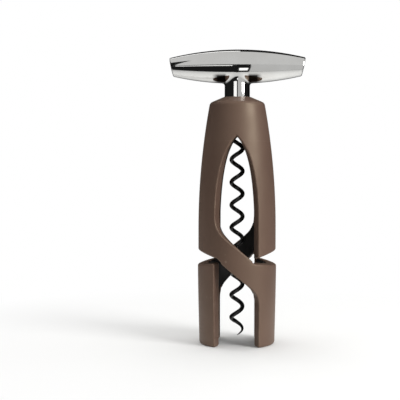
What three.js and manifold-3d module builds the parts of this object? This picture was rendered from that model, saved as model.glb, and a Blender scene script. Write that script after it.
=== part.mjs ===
// Table corkscrew of the continuous-turn kind: a T-handle with a long worm turns in the crown of a
// frame, whose two crossed arms stand around the neck of the bottle and grip it when squeezed.
// Millimetres, +Z up. The origin is on the axis of the worm, in the plane of the feet.
// The front of the frame faces -Y and the handle lies along X.
import * as THREE from "three";
import { mergeVertices } from "three/addons/utils/BufferGeometryUtils.js";
import Module from "manifold-3d";

const wasm = await Module();
wasm.setup();

// ---- Driving dimensions ----------------------------------------------------------------------
const FRAME_HEIGHT = 155.8;      // feet to the shoulder of the crown
const BORE_RADIUS = 17.0;        // space for the neck of the bottle
const FRAME_WALL = 8.1;          // wall of the arms at their widest
const WIDEST_RISE = 19.6;        // height at which the upper part is widest, above the grooves
const WINDOW_SPRING = 8;         // where the pointed window starts to narrow, above that height
const CROWN_SIDE = 3.15;         // wall of the crown at its shoulder
const CEILING_DEPTH = 4.5;       // shoulder down to the crown's ceiling
const CROWN_RISE = 3.9;          // shoulder up to the hole for the neck
const LEG_PROUD = 0.4;           // lower legs beyond the upper ones
const FOOT_TAPER = 1.0;          // loss of radius from the top of a lower leg to its foot
const FOOT_EDGE = 1.0;           // rounding under the feet
const ROOT_BORE = 13.3;          // inside of the arms at their roots

const GROOVE_Z = 55.4;           // height at which the arms cross
const GROOVE_GAP = 3.6;          // between the arms at the inner end of the side groove
const GROOVE_MOUTH = 9.4;        // the same at the outer surface
const GROOVE_RISE = 0.7;         // groove's middle, from its inner end to the outer surface
const BAND_HALF = 9.15;          // half of a crossing band's height, measured straight up
const BAND_SLOPE = 0.88;         // fall of a band for each millimetre across
const BAND_DROP = 0.65;          // middle of a band below that of the grooves, on the axis
const BAND_FILLET = 7;           // rounding where a band runs into a leg
const UPPER_HALF = 13.7;         // half-width of the pointed window at the outer surface
const LOWER_HALF = 14.3;         // half-width between the lower legs at the outer surface
const WINDOW_DRAFT = 0.027;      // narrowing of a window for each millimetre inwards
const WINDOW_BELOW_CROWN = 21.6; // shoulder down to the point of the window
const ROOT_BELOW_POINT = 3.2;    // point of the window down to the roots of the arms
const ROOT_GAP = 0.5;            // room for the arms to flex under the crown

const LINER_WALL = 1.6;          // black liner inside the jaws
const LINER_RISE = 9;            // liner's upper edge above the widest height
const LINER_LIFT = 0.6;          // liner's lower edge above the feet

const WORM_RADIUS = 5.0;         // outside of the helix
const WIRE_RADIUS = 1.35;
const WORM_PITCH = 14.7;
const WORM_TIP_Z = 5.3;
const WORM_POINT = 8;            // height over which the wire tapers to its point
const WORM_STRAIGHTEN = 7;       // height over which the helix closes into a straight shank

const NECK_RADIUS = 8.15;
const NECK_DEPTH = 11.8;         // neck's lower end below the shoulder of the crown
const NECK_EDGE = 0.4;           // chamfer round its lower end
const BAR_RISE = 23.4;           // shoulder of the crown up to the axis of the crossbar
const BAR_RADIUS = 10.95;        // in the middle
const BAR_LENGTH = 88;           // along the top
const BAR_CURVE = 186;           // radius of the bar's barrel-shaped side
const BAR_SLANT = 0.21;          // lean of its cut ends
const NECK_TOP_DEPTH = 5.5;      // neck's top below the axis of the bar
const SHANK_DEPTH = 9;           // worm's upper end below the top of the neck
const SOCKET_ROOF = 3;           // socket above the worm's upper end

const CORE_WALL = 4.1;
const CORE_DEPTH = 20.3;         // crown's core, from its lower end to the shoulder
const BUSH_WALL = 1.3;
const BUSH_FLOOR = 5.0;          // thickness under the thrust washer
const SCREW_RADIUS = 1.0;
const SCREW_HEAD_RADIUS = 1.8;
const SCREW_HEAD_HEIGHT = 1.2;
const SCREW_BITE = 3.4;          // screw's length in the crown
const SCREW_COUNT = 3;
const RING_THICKNESS = 0.8;
const RING_WIDTH = 3.4;
const WASHER_THICKNESS = 1.4;
const SOCKET_RADIUS = 5.3;       // plug that holds the worm's shank inside the neck
const STUD_RADIUS = 2.5;         // ties the neck to the crossbar
const STUD_BITE = 8;             // stud's length in the crossbar

const GAP = 0.3;                 // between fixed neighbours
const RUNNING = 0.35;            // around what turns or slides

// ---- Sizes that follow -----------------------------------------------------------------------
const BAR_Z = FRAME_HEIGHT + BAR_RISE;
const WIDEST_Z = GROOVE_Z + WIDEST_RISE;
const LINER_HEIGHT = WIDEST_Z + LINER_RISE;
const FRAME_RADIUS = BORE_RADIUS + FRAME_WALL;
const LEG_RADIUS = FRAME_RADIUS + LEG_PROUD;
const LEG_TOP = GROOVE_Z - GROOVE_GAP / 2;
const UPPER_FOOT = GROOVE_Z + GROOVE_GAP / 2;
const POINT_Z = FRAME_HEIGHT - WINDOW_BELOW_CROWN;
const ROOT_Z = POINT_Z - ROOT_BELOW_POINT;
const WINDOW_FACE = Math.sqrt(FRAME_RADIUS ** 2 - UPPER_HALF ** 2);
const INNER_FACE = Math.sqrt(BORE_RADIUS ** 2 - (UPPER_HALF * 0.8) ** 2);
const INNER_SHARE = 1 - WINDOW_DRAFT * (WINDOW_FACE - INNER_FACE);
const LINER_RADIUS = BORE_RADIUS + LINER_WALL;
const NECK_HOLE = NECK_RADIUS + RUNNING;
const NECK_BOTTOM = FRAME_HEIGHT - NECK_DEPTH;
const NECK_TOP = BAR_Z - NECK_TOP_DEPTH;
const BUSH_RADIUS = NECK_HOLE + BUSH_WALL;
const WORM_HOLE = WORM_RADIUS + RUNNING;
const SHOULDER_Z = NECK_BOTTOM - GAP - WASHER_THICKNESS - GAP;
const CORE_BOTTOM = FRAME_HEIGHT - CORE_DEPTH;
const CORE_TOP = FRAME_HEIGHT - CEILING_DEPTH - GAP;
const CORE_BORE = BUSH_RADIUS + GAP;
const CORE_RADIUS = CORE_BORE + CORE_WALL;
const CROWN_RADIUS = CORE_RADIUS + GAP + CROWN_SIDE;
const BUSH_BOTTOM = SHOULDER_Z - BUSH_FLOOR;
const SCREW_CIRCLE = (CORE_BORE + CORE_RADIUS) / 2;
const SHANK_TOP = NECK_TOP - SHANK_DEPTH;
const SOCKET_TOP = SHANK_TOP + 2 * GAP + SOCKET_ROOF;
const WORM_CLOSE_Z = BUSH_BOTTOM - 1;
const BIG = 60;                  // past every face of the frame

const COLOURS = {
  brown: { color: 0x5f4c42, roughness: 0.55, metalness: 0.0 },
  black: { color: 0x191816, roughness: 0.5, metalness: 0.0 },
  chrome: { color: 0xd4d5d3, roughness: 0.08, metalness: 1.0 },
  steel: { color: 0x9a9c9d, roughness: 0.35, metalness: 1.0 },
  coated: { color: 0x1b1b1a, roughness: 0.3, metalness: 0.2 },
};

// ---- Solids and meshes -----------------------------------------------------------------------
function signedVolume(points, faces) {
  const a = new THREE.Vector3();
  const b = new THREE.Vector3();
  const c = new THREE.Vector3();
  let volume = 0;
  for (let i = 0; i < faces.length; i += 3) {
    a.fromArray(points, faces[i] * 3);
    b.fromArray(points, faces[i + 1] * 3);
    c.fromArray(points, faces[i + 2] * 3);
    volume += a.dot(b.cross(c)) / 6;
  }
  return volume;
}

function solid(geometry) {
  const bare = geometry.clone();
  bare.deleteAttribute("normal");
  bare.deleteAttribute("uv");
  const merged = mergeVertices(bare, 1e-4);
  const points = merged.attributes.position.array;
  const index = merged.index.array;
  const faces = [];
  for (let i = 0; i < index.length; i += 3) {
    const [a, b, c] = [index[i], index[i + 1], index[i + 2]];
    if (a !== b && b !== c && c !== a) faces.push(a, b, c);
  }
  if (signedVolume(points, faces) < 0) faces.reverse();
  return new wasm.Manifold(new wasm.Mesh({
    numProp: 3,
    vertProperties: new Float32Array(points),
    triVerts: new Uint32Array(faces),
  }));
}

function meshOf(name, body, finish) {
  const { vertProperties, triVerts } = body.getMesh();
  const geometry = new THREE.BufferGeometry();
  geometry.setAttribute("position", new THREE.BufferAttribute(new Float32Array(vertProperties), 3));
  geometry.setIndex(new THREE.BufferAttribute(new Uint32Array(triVerts), 1));
  geometry.computeVertexNormals();
  const mesh = new THREE.Mesh(geometry, new THREE.MeshStandardMaterial(finish));
  mesh.name = name;
  return mesh;
}

// A solid of revolution about Z from a closed outline of [radius, height] pairs.
function turned(outline, segments) {
  const points = outline.map(([r, z]) => new THREE.Vector2(r, z));
  points.push(points[0].clone());
  return solid(new THREE.LatheGeometry(points, segments).rotateX(Math.PI / 2));
}

function rod(radius, bottom, top, segments, x = 0, y = 0) {
  const geometry = new THREE.CylinderGeometry(radius, radius, top - bottom, segments);
  return solid(geometry.rotateX(Math.PI / 2).translate(x, y, (bottom + top) / 2));
}

// An outline drawn in X and Z, run along Y between two distances. With a draft it narrows
// towards the axis, measured from the outer face of the windows.
function prism(shape, from, to, draft = 0) {
  const geometry = new THREE.ExtrudeGeometry(shape, { depth: to - from, bevelEnabled: false, curveSegments: 6 });
  geometry.rotateX(Math.PI / 2).translate(0, to, 0);
  const place = geometry.attributes.position;
  for (let i = 0; i < place.count; i += 1) {
    const share = 1 - draft * (WINDOW_FACE - Math.abs(place.getY(i)));
    place.setX(i, place.getX(i) * share);
  }
  return solid(geometry);
}

function polygon(pairs) {
  return new THREE.Shape(pairs.map(([x, z]) => new THREE.Vector2(x, z)));
}

function halfTurn(body) {
  const { vertProperties, triVerts } = body.getMesh();
  const turnedPoints = new Float32Array(vertProperties);
  for (let i = 0; i < turnedPoints.length; i += 3) {
    turnedPoints[i] *= -1;
    turnedPoints[i + 1] *= -1;
  }
  return new wasm.Manifold(new wasm.Mesh({ numProp: 3, vertProperties: turnedPoints, triVerts }));
}

// ---- Frame -----------------------------------------------------------------------------------
// Outer radius of the frame: a parabola from the widest place up to the shoulder, and legs that
// draw in a little towards the feet.
function frameRadius(z) {
  if (z > UPPER_FOOT) {
    const up = Math.max(0, (z - WIDEST_Z) / (FRAME_HEIGHT - WIDEST_Z));
    return FRAME_RADIUS - (FRAME_RADIUS - CROWN_RADIUS) * up ** 2;
  }
  const down = Math.max(0, (LEG_TOP - z) / LEG_TOP);
  return LEG_RADIUS - FOOT_TAPER * down ** 1.4;
}

function sideBetween(bottom, top, steps) {
  const side = [];
  for (let i = 0; i <= steps; i += 1) {
    const z = bottom + ((top - bottom) * i) / steps;
    side.push([frameRadius(z), z]);
  }
  return side;
}

function bandTop(x) {
  return GROOVE_Z - BAND_DROP + BAND_HALF - BAND_SLOPE * x;
}

function bandBottom(x) {
  return bandTop(x) - 2 * BAND_HALF;
}

// The pointed window over a crossing band. Its lower right corner opens into the side groove.
function upperWindow() {
  const right = UPPER_HALF;
  const springing = WIDEST_Z + WINDOW_SPRING;
  const rise = POINT_Z - springing;
  const [lean, high, low] = [0.62 * right, POINT_Z - 0.16 * rise, POINT_Z - 0.5 * rise];
  const shape = new THREE.Shape();
  shape.moveTo(0, POINT_Z);
  shape.bezierCurveTo(lean, high, right, low, right, springing);
  shape.lineTo(right, LEG_TOP);
  shape.lineTo(right - 1, LEG_TOP);
  shape.quadraticCurveTo(right - 2, LEG_TOP, right - 4.2, bandTop(right - 4.2));
  shape.lineTo(BAND_FILLET - 1 - right, bandTop(BAND_FILLET - 1 - right));
  shape.quadraticCurveTo(-right, bandTop(-right), -right, bandTop(-right) + BAND_FILLET);
  shape.lineTo(-right, springing);
  shape.bezierCurveTo(-right, low, -lean, high, 0, POINT_Z);
  return shape;
}

// The space between the lower legs under a crossing band, open at the feet. Its upper left
// corner opens into the other side groove.
function lowerWindow() {
  const right = LOWER_HALF;
  const shape = new THREE.Shape();
  shape.moveTo(-right, -BIG);
  shape.lineTo(-right, LEG_TOP - 1);
  shape.lineTo(-right - 0.6, LEG_TOP + 0.6);
  shape.lineTo(-right + 1.4, bandBottom(-right + 1.4));
  shape.lineTo(right + 2 - BAND_FILLET, bandBottom(right + 2 - BAND_FILLET));
  shape.quadraticCurveTo(right, bandBottom(right), right, bandBottom(right) + 1 - BAND_FILLET);
  shape.lineTo(right, -BIG);
  shape.closePath();
  return shape;
}

// The wedge between an upper leg and the lower leg under it, seen along Y. Its inner end runs
// to a point under the band, so it meets the windows where their draft has narrowed them.
function sideGroove(side) {
  const slope = (GROOVE_MOUTH - GROOVE_GAP) / 2 / (FRAME_RADIUS - UPPER_HALF);
  const reach = BIG - UPPER_HALF;
  const rise = (GROOVE_RISE / (FRAME_RADIUS - UPPER_HALF)) * reach;
  const inner = UPPER_HALF - 1.2;
  return polygon([
    [side * inner, UPPER_FOOT - slope * 1.2],
    [side * (inner - 2.5), GROOVE_Z - 0.75],
    [side * inner, LEG_TOP],
    [side * UPPER_HALF, LEG_TOP],
    [side * BIG, LEG_TOP + rise - slope * reach],
    [side * BIG, UPPER_FOOT + rise + slope * reach],
  ]);
}

// What is cut from the frame: both windows on the front, their copies at the back, both grooves.
function frameCuts() {
  const inside = BORE_RADIUS * 0.3;
  const upper = prism(upperWindow(), -BIG / 2, -inside, WINDOW_DRAFT);
  const lower = prism(lowerWindow(), -BIG / 2, -inside, WINDOW_DRAFT);
  const front = upper.add(lower);
  const grooves = prism(sideGroove(1), -BIG, BIG).add(prism(sideGroove(-1), -BIG, BIG));
  return front.add(halfTurn(front)).add(grooves);
}

// Room that holds the whole front arm and none of the other, bounded inside the cuts: the upper
// left leg, the band that crosses the front, and the lower right leg.
function armRoom() {
  const legEdge = LOWER_HALF * INNER_SHARE;
  const upperEdge = UPPER_HALF * INNER_SHARE;
  const outerGroove = [BIG, GROOVE_Z + 2 * GROOVE_RISE];
  const rightOfLeg = [UPPER_HALF, GROOVE_Z];
  const inGroove = [UPPER_HALF - 2.7, GROOVE_Z - 0.45];
  const overCorner = [UPPER_HALF - 3.5, GROOVE_Z + 0.2];
  const overBand = [upperEdge - 1.1, bandTop(upperEdge - 1.1) + 1.4];
  const inWindow = [0, bandTop(0) + 12];
  const high = [0, POINT_Z + BIG];
  const underBand = [legEdge - 1.6, bandBottom(1.6 - legEdge) - 2];
  const besideLeg = [legEdge, (bandBottom(-legEdge) + LEG_TOP) / 2];
  const low = [5, -BIG];
  const mirrored = ([x, z]) => [-x, z];
  const front = polygon([
    mirrored(outerGroove), mirrored(rightOfLeg), mirrored(besideLeg), mirrored(underBand), mirrored(low),
    [BIG, -BIG], outerGroove, rightOfLeg, inGroove, overCorner, overBand, inWindow, high,
    [-BIG, POINT_Z + BIG],
  ]);
  const backUpper = polygon([
    mirrored(outerGroove), mirrored(rightOfLeg), mirrored(inGroove), mirrored(overCorner),
    mirrored(overBand), inWindow, high, [-BIG, POINT_Z + BIG],
  ]);
  const backLower = polygon([outerGroove, rightOfLeg, besideLeg, underBand, low, [BIG, -BIG]]);
  const back = prism(backUpper, -0.5, BIG).add(prism(backLower, -0.5, BIG));
  return prism(front, -BIG, 0.5).add(back);
}

function armShell(cuts, room) {
  const top = ROOT_Z - ROOT_GAP / 2;
  const inner = LINER_RADIUS + GAP;
  const linerTop = LINER_HEIGHT + GAP;
  const wall = turned([
    [inner, 0],
    [frameRadius(0) - FOOT_EDGE, 0],
    [frameRadius(0) - FOOT_EDGE * 0.3, FOOT_EDGE * 0.3],
    ...sideBetween(FOOT_EDGE, LEG_TOP - 1, 4),
    ...sideBetween(UPPER_FOOT + 1, top, 9),
    [ROOT_BORE, top],
    [BORE_RADIUS, linerTop],
    [inner, linerTop],
  ], 56);
  return wall.subtract(cuts).intersect(room);
}

function armLiner(cuts, room) {
  const wall = turned([
    [BORE_RADIUS, LINER_LIFT],
    [LINER_RADIUS, LINER_LIFT],
    [LINER_RADIUS, LINER_HEIGHT],
    [BORE_RADIUS, LINER_HEIGHT],
  ], 56);
  return wall.subtract(cuts).intersect(room);
}

function screwPlaces() {
  return Array.from({ length: SCREW_COUNT }, (_, i) => {
    const angle = (2 * Math.PI * i) / SCREW_COUNT;
    return [SCREW_CIRCLE * Math.cos(angle), SCREW_CIRCLE * Math.sin(angle)];
  });
}

function screwHoles(from, to) {
  return screwPlaces()
    .map(([x, y]) => rod(SCREW_RADIUS + GAP, from, to, 12, x, y))
    .reduce((all, hole) => all.add(hole));
}

function crownShell(cuts) {
  const inner = CORE_RADIUS + GAP;
  const ceiling = CORE_TOP + GAP;
  const bottom = ROOT_Z + ROOT_GAP / 2;
  const shell = turned([
    [inner, bottom],
    ...sideBetween(bottom, FRAME_HEIGHT - 1, 5),
    [CROWN_RADIUS - 0.5, FRAME_HEIGHT + 0.2],
    [(CROWN_RADIUS + NECK_HOLE) / 2, FRAME_HEIGHT + CROWN_RISE * 0.55],
    [NECK_HOLE + 0.8, FRAME_HEIGHT + CROWN_RISE],
    [NECK_HOLE, FRAME_HEIGHT + CROWN_RISE - 0.3],
    [NECK_HOLE, ceiling],
    [inner, ceiling],
  ], 56);
  return shell.subtract(cuts).subtract(screwHoles(ceiling - 1, CORE_TOP + GAP + SCREW_BITE + GAP));
}

// Black sleeve that fills the crown and carries the bush, with a groove for the bush's ring.
function crownCore() {
  const grooveBottom = BUSH_BOTTOM - RING_THICKNESS - 2 * GAP;
  const grooveTop = BUSH_BOTTOM - GAP / 2;
  const grooveRadius = CORE_BORE + 0.8;
  const core = turned([
    [CORE_BORE, CORE_BOTTOM],
    [CORE_RADIUS, CORE_BOTTOM],
    [CORE_RADIUS, CORE_TOP],
    [CORE_BORE, CORE_TOP],
    [CORE_BORE, grooveTop],
    [grooveRadius, grooveTop],
    [grooveRadius, grooveBottom],
    [CORE_BORE, grooveBottom],
  ], 40);
  return core.subtract(screwHoles(CORE_BOTTOM - 1, CORE_TOP + 1));
}

function coreScrew([x, y]) {
  const head = rod(SCREW_HEAD_RADIUS, CORE_BOTTOM - GAP - SCREW_HEAD_HEIGHT, CORE_BOTTOM - GAP, 16, x, y);
  return head.add(rod(SCREW_RADIUS, CORE_BOTTOM - GAP - 0.2, CORE_TOP + GAP + SCREW_BITE, 12, x, y));
}

// Stepped bush: the neck turns in its wide upper bore, the worm passes through its floor.
function guideBush() {
  return turned([
    [WORM_HOLE, BUSH_BOTTOM],
    [BUSH_RADIUS, BUSH_BOTTOM],
    [BUSH_RADIUS, CORE_TOP],
    [NECK_HOLE, CORE_TOP],
    [NECK_HOLE, SHOULDER_Z],
    [WORM_HOLE, SHOULDER_Z],
  ], 40);
}

function bushRing() {
  const top = BUSH_BOTTOM - GAP;
  const outer = CORE_BORE + 0.5;
  return turned([
    [outer - RING_WIDTH, top - RING_THICKNESS],
    [outer, top - RING_THICKNESS],
    [outer, top],
    [outer - RING_WIDTH, top],
  ], 40);
}

function thrustWasher() {
  const bottom = SHOULDER_Z + GAP;
  return turned([
    [WORM_HOLE + 0.2, bottom],
    [NECK_RADIUS, bottom],
    [NECK_RADIUS, bottom + WASHER_THICKNESS],
    [WORM_HOLE + 0.2, bottom + WASHER_THICKNESS],
  ], 32);
}

// ---- Handle and worm -------------------------------------------------------------------------
function handleBar() {
  const half = BAR_LENGTH / 2;
  const steps = 14;
  const outline = [[0, -half]];
  for (let i = 0; i <= steps; i += 1) {
    const along = -half + (BAR_LENGTH * i) / steps;
    const sag = BAR_CURVE - Math.sqrt(BAR_CURVE ** 2 - along ** 2);
    outline.push([BAR_RADIUS - sag, along]);
  }
  outline.push([0, half]);
  const points = outline.map(([r, s]) => new THREE.Vector2(r, s));
  const barrel = new THREE.LatheGeometry(points, 40).rotateZ(-Math.PI / 2).translate(0, 0, BAR_Z);
  const endRadius = BAR_RADIUS - BAR_CURVE + Math.sqrt(BAR_CURVE ** 2 - half ** 2);
  const lean = BAR_SLANT * BIG;
  const slice = (side) => polygon([
    [side * (half - endRadius * BAR_SLANT), BAR_Z],
    [side * (half - endRadius * BAR_SLANT + lean), BAR_Z + BIG],
    [side * 2 * BIG, BAR_Z + BIG],
    [side * 2 * BIG, BAR_Z - BIG],
    [side * (half - endRadius * BAR_SLANT - lean), BAR_Z - BIG],
  ]);
  return solid(barrel)
    .subtract(prism(slice(1), -BIG, BIG))
    .subtract(prism(slice(-1), -BIG, BIG))
    .subtract(rod(NECK_RADIUS + GAP, BAR_Z - BIG, NECK_TOP + GAP, 40))
    .subtract(rod(STUD_RADIUS + GAP, NECK_TOP, NECK_TOP + STUD_BITE + GAP, 16));
}

function handleNeck() {
  return turned([
    [SOCKET_RADIUS + GAP, NECK_BOTTOM],
    [NECK_RADIUS - NECK_EDGE, NECK_BOTTOM],
    [NECK_RADIUS, NECK_BOTTOM + NECK_EDGE],
    [NECK_RADIUS, NECK_TOP],
    [STUD_RADIUS + GAP, NECK_TOP],
    [STUD_RADIUS + GAP, SOCKET_TOP + GAP],
    [SOCKET_RADIUS + GAP, SOCKET_TOP + GAP],
  ], 40);
}

function wormSocket() {
  const bottom = NECK_BOTTOM + NECK_EDGE;
  return turned([
    [WIRE_RADIUS + GAP, bottom],
    [SOCKET_RADIUS, bottom],
    [SOCKET_RADIUS, SOCKET_TOP],
    [0, SOCKET_TOP],
    [0, SHANK_TOP + GAP],
    [WIRE_RADIUS + GAP, SHANK_TOP + GAP],
  ], 24);
}

function tieStud() {
  return rod(STUD_RADIUS, SOCKET_TOP + 2 * GAP, NECK_TOP + STUD_BITE, 16);
}

// Right-handed helix, closing onto the axis at its upper end to run on as a straight shank.
class WormPath extends THREE.Curve {
  constructor(bottom, top) {
    super();
    this.bottom = bottom;
    this.top = top;
  }

  getPoint(t, target = new THREE.Vector3()) {
    const z = this.bottom + (this.top - this.bottom) * t;
    const angle = (2 * Math.PI * (z - WORM_TIP_Z)) / WORM_PITCH - Math.PI / 2;
    const closing = THREE.MathUtils.smoothstep(z, WORM_CLOSE_Z, WORM_CLOSE_Z + WORM_STRAIGHTEN);
    const radius = (WORM_RADIUS - WIRE_RADIUS) * (1 - closing);
    return target.set(radius * Math.cos(angle), radius * Math.sin(angle), z);
  }
}

function worm() {
  const steps = 124;
  const sides = 8;
  const path = new WormPath(WORM_TIP_Z, SHANK_TOP);
  const section = new THREE.Shape(Array.from({ length: sides }, (_, i) => {
    const angle = (2 * Math.PI * i) / sides;
    return new THREE.Vector2(WIRE_RADIUS * Math.cos(angle), WIRE_RADIUS * Math.sin(angle));
  }));
  const wire = new THREE.ExtrudeGeometry(section, { steps, extrudePath: path, bevelEnabled: false });
  const stations = path.getSpacedPoints(steps);
  const place = wire.attributes.position;
  const corner = new THREE.Vector3();
  for (let i = 0; i < place.count; i += 1) {
    corner.fromBufferAttribute(place, i);
    const centre = stations.reduce((best, at) => (
      at.distanceToSquared(corner) < best.distanceToSquared(corner) ? at : best));
    const share = THREE.MathUtils.clamp((centre.z - WORM_TIP_Z) / WORM_POINT, 0, 1);
    corner.sub(centre).multiplyScalar(0.12 + 0.88 * Math.sqrt(share)).add(centre);
    place.setXYZ(i, corner.x, corner.y, corner.z);
  }
  return solid(wire);
}

// ---- Assembly --------------------------------------------------------------------------------
const corkscrew = new THREE.Group();
corkscrew.name = "corkscrew";

const cuts = frameCuts();
const room = armRoom();
const shell = armShell(cuts, room);
const liner = armLiner(cuts, room);

const frame = new THREE.Group();
frame.add(meshOf("crown_shell", crownShell(cuts), COLOURS.brown));
frame.add(meshOf("crown_core", crownCore(), COLOURS.black));
frame.add(meshOf("guide_bush", guideBush(), COLOURS.black));
frame.add(meshOf("bush_ring", bushRing(), COLOURS.steel));
screwPlaces().forEach((place, i) => {
  frame.add(meshOf(`core_screw_${i + 1}`, coreScrew(place), COLOURS.steel));
});
frame.add(meshOf("front_arm_shell", shell, COLOURS.brown));
frame.add(meshOf("front_arm_liner", liner, COLOURS.black));

const backArm = new THREE.Group();
backArm.rotation.z = Math.PI;
backArm.add(meshOf("back_arm_shell", shell, COLOURS.brown));
backArm.add(meshOf("back_arm_liner", liner, COLOURS.black));
frame.add(backArm);

const handle = new THREE.Group();
handle.add(meshOf("handle_bar", handleBar(), COLOURS.chrome));
handle.add(meshOf("handle_neck", handleNeck(), COLOURS.chrome));
handle.add(meshOf("tie_stud", tieStud(), COLOURS.steel));
handle.add(meshOf("worm_socket", wormSocket(), COLOURS.steel));
handle.add(meshOf("worm", worm(), COLOURS.coated));
handle.add(meshOf("thrust_washer", thrustWasher(), COLOURS.steel));

corkscrew.add(frame, handle);

export default corkscrew;
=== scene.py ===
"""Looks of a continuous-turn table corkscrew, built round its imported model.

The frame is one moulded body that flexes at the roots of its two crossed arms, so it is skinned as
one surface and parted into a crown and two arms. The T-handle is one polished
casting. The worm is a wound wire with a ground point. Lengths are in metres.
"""

from __future__ import annotations

import logging
import math
from collections.abc import Callable
from dataclasses import dataclass, field
from enum import Enum
from typing import ClassVar

import bmesh
import bpy
import numpy as np
import openvdb
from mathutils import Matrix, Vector


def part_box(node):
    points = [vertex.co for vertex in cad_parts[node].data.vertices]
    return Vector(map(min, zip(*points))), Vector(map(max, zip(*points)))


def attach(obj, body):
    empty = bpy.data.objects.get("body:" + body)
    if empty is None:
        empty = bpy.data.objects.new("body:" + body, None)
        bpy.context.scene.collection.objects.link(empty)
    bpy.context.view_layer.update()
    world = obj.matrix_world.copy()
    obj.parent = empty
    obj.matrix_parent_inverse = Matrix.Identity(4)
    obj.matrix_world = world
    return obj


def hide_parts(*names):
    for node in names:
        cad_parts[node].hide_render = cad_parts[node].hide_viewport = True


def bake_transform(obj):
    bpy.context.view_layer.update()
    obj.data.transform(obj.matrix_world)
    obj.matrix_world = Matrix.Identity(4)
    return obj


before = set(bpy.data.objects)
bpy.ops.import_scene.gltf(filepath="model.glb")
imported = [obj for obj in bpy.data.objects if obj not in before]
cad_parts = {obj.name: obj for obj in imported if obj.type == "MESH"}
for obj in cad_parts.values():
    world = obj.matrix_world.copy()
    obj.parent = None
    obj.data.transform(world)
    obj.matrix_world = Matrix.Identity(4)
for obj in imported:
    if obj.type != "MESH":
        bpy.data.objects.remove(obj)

LOG = logging.getLogger("corkscrew")
MM = 0.001
Array = np.ndarray
Socket = bpy.types.NodeSocket
Triple = tuple[float, float, float]
Outline = list[tuple[float, float]]
Field = Callable[[Array, Array, Array], Array]


class Body(Enum):
    """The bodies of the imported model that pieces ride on."""

    CROWN = "crown"
    FRONT_ARM = "front_arm"
    BACK_ARM = "back_arm"
    HANDLE = "handle"


class Slot(Enum):
    """Names of the record's material slots."""

    BROWN = "brown_soft_plastic"
    BLACK = "black_plastic"
    CHROME = "chrome"
    COATING = "black_coating"


# ---- Fields and skins ----


def smooth_max(a: Array, b: Array, width: float) -> Array:
    """The larger of two distances, rounded over a width where they meet."""
    overlap = np.maximum(width - np.abs(a - b), 0.0)
    return np.maximum(a, b) + overlap * overlap / (4.0 * width)


def smooth_min(a: Array, b: Array, width: float) -> Array:
    """The smaller of two distances, with a fillet of a width where they meet."""
    return -smooth_max(-a, -b, width)


def smooth_step(start: float, end: float, value: Array) -> Array:
    """A smooth rise from 0 at start to 1 at end."""
    share = np.clip((value - start) / (end - start), 0.0, 1.0)
    return share * share * (3.0 - 2.0 * share)


def bezier(points: Outline, count: int) -> Outline:
    """Points along a Bezier curve of any degree, without its last point.

    Args:
        points: Control points.
        count: Number of points to return.

    Returns:
        Points along the curve.
    """
    result = []
    for i in range(count):
        t = i / count
        level = [np.array(p, float) for p in points]
        while len(level) > 1:
            level = [(1 - t) * a + t * b for a, b in zip(level, level[1:])]
        result.append((float(level[0][0]), float(level[0][1])))
    return result


def linked(name: str, data: bpy.types.ID) -> bpy.types.Object:
    """A new object in the scene that holds the given data.

    Args:
        name: Name of the object.
        data: Its mesh, light or camera.

    Returns:
        The object, at the origin.
    """
    made = bpy.data.objects.new(name, data)
    bpy.context.scene.collection.objects.link(made)
    return made


def sheet(name: str, rim: list[Triple], material: bpy.types.Material) -> bpy.types.Object:
    """A flat four-sided piece of the studio.

    Args:
        name: Name of the piece.
        rim: Its four corners.
        material: Its finish.

    Returns:
        The linked object.
    """
    mesh = bpy.data.meshes.new(name)
    mesh.from_pydata(rim, [], [(0, 1, 2, 3)])
    mesh.materials.append(material)
    return linked(name, mesh)


@dataclass(frozen=True)
class OutlineMap:
    """Signed distances to a closed outline in X and Z, negative inside, kept on a grid."""

    low: tuple[float, float]
    step: float
    table: Array

    @classmethod
    def of(
        cls, corners: Outline, low: tuple[float, float], high: tuple[float, float]
    ) -> OutlineMap:
        """Measures an outline on a grid.

        Args:
            corners: The outline's corners in order.
            low: Lowest corner of the grid.
            high: Highest corner of the grid.

        Returns:
            The map of distances.
        """
        step = 0.25 * MM
        across = np.arange(low[0], high[0] + step, step)
        up = np.arange(low[1], high[1] + step, step)
        x, z = np.meshgrid(across, up, indexing="ij")
        nearest = np.full(x.shape, np.inf)
        inside = np.zeros(x.shape, bool)
        for (ax, az), (bx, bz) in zip(corners, corners[1:] + corners[:1]):
            dx, dz = bx - ax, bz - az
            along = np.clip(((x - ax) * dx + (z - az) * dz) / (dx * dx + dz * dz), 0.0, 1.0)
            gap = (x - ax - along * dx) ** 2 + (z - az - along * dz) ** 2
            nearest = np.minimum(nearest, gap)
            if az != bz:
                crosses = (az > z) != (bz > z)
                inside ^= crosses & (x < dx * (z - az) / dz + ax)
        distance = np.sqrt(nearest)
        return cls(low, step, np.where(inside, -distance, distance))

    def at(self, x: Array, z: Array) -> Array:
        """Signed distance at each place.

        Args:
            x: Places across.
            z: Places up.

        Returns:
            Distances, read between the grid's points.
        """
        columns, rows = self.table.shape
        u = np.clip((x - self.low[0]) / self.step, 0.0, columns - 1.001)
        v = np.clip((z - self.low[1]) / self.step, 0.0, rows - 1.001)
        i, j = u.astype(np.int32), v.astype(np.int32)
        fu, fv = u - i, v - j
        t = self.table
        near = t[i, j] * (1 - fu) + t[i + 1, j] * fu
        far = t[i, j + 1] * (1 - fu) + t[i + 1, j + 1] * fu
        return near * (1 - fv) + far * fv


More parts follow.
